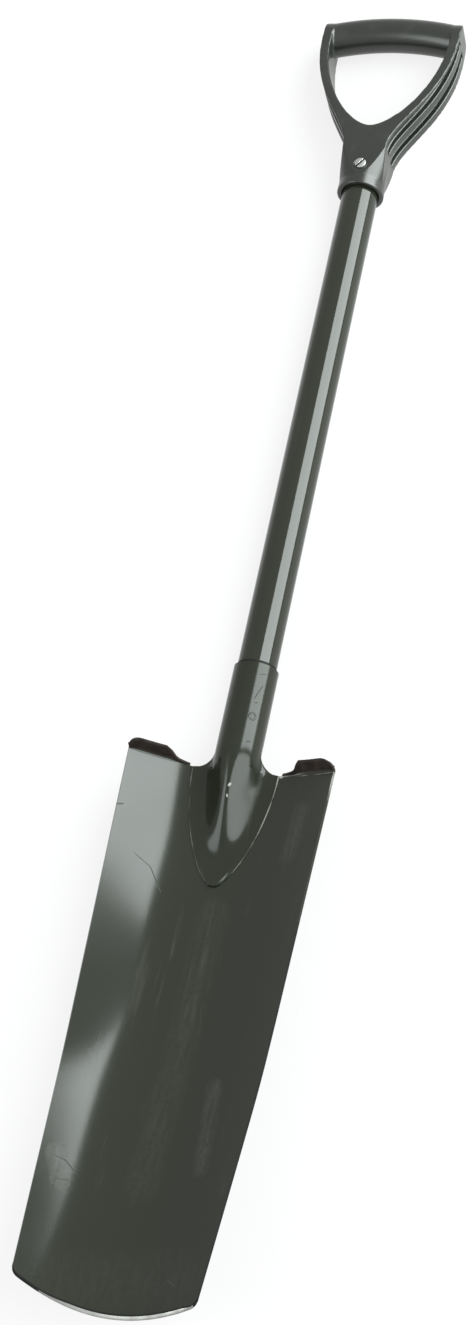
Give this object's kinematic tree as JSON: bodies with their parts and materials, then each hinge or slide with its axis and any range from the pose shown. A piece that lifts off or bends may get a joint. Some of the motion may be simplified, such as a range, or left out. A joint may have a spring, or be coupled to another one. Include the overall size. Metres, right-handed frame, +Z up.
{
  "type": "trenching spade",
  "caption": "Trenching spade with a long narrow dished blade, turned treads, open-back socket, painted tubular shaft and moulded D-shaped handle.",
  "frame": {"origin": "middle of the footprint, on the floor the spade lies on", "axes": "+X across the blade, +Y along the shaft towards the handle, +Z up out of the hollow face of the blade"},
  "size_m": [0.1582, 1.1044, 0.0637],
  "materials": {
    "blade_paint": "gloss paint, lightly scuffed, bare ground edge at the mouth",
    "socket_paint": "gloss paint",
    "shaft_paint": "gloss paint",
    "weld": "gloss paint over weld metal",
    "handle_plastic": "satin moulded",
    "zinc": "bright zinc plate"
  },
  "bodies": {
    "root": {"blade": "blade_paint", "socket": "socket_paint", "shaft": "shaft_paint", "plug_weld": "weld", "back_weld": "weld", "handle": "handle_plastic", "handle_screw": "zinc"}
  },
  "joints": []
}
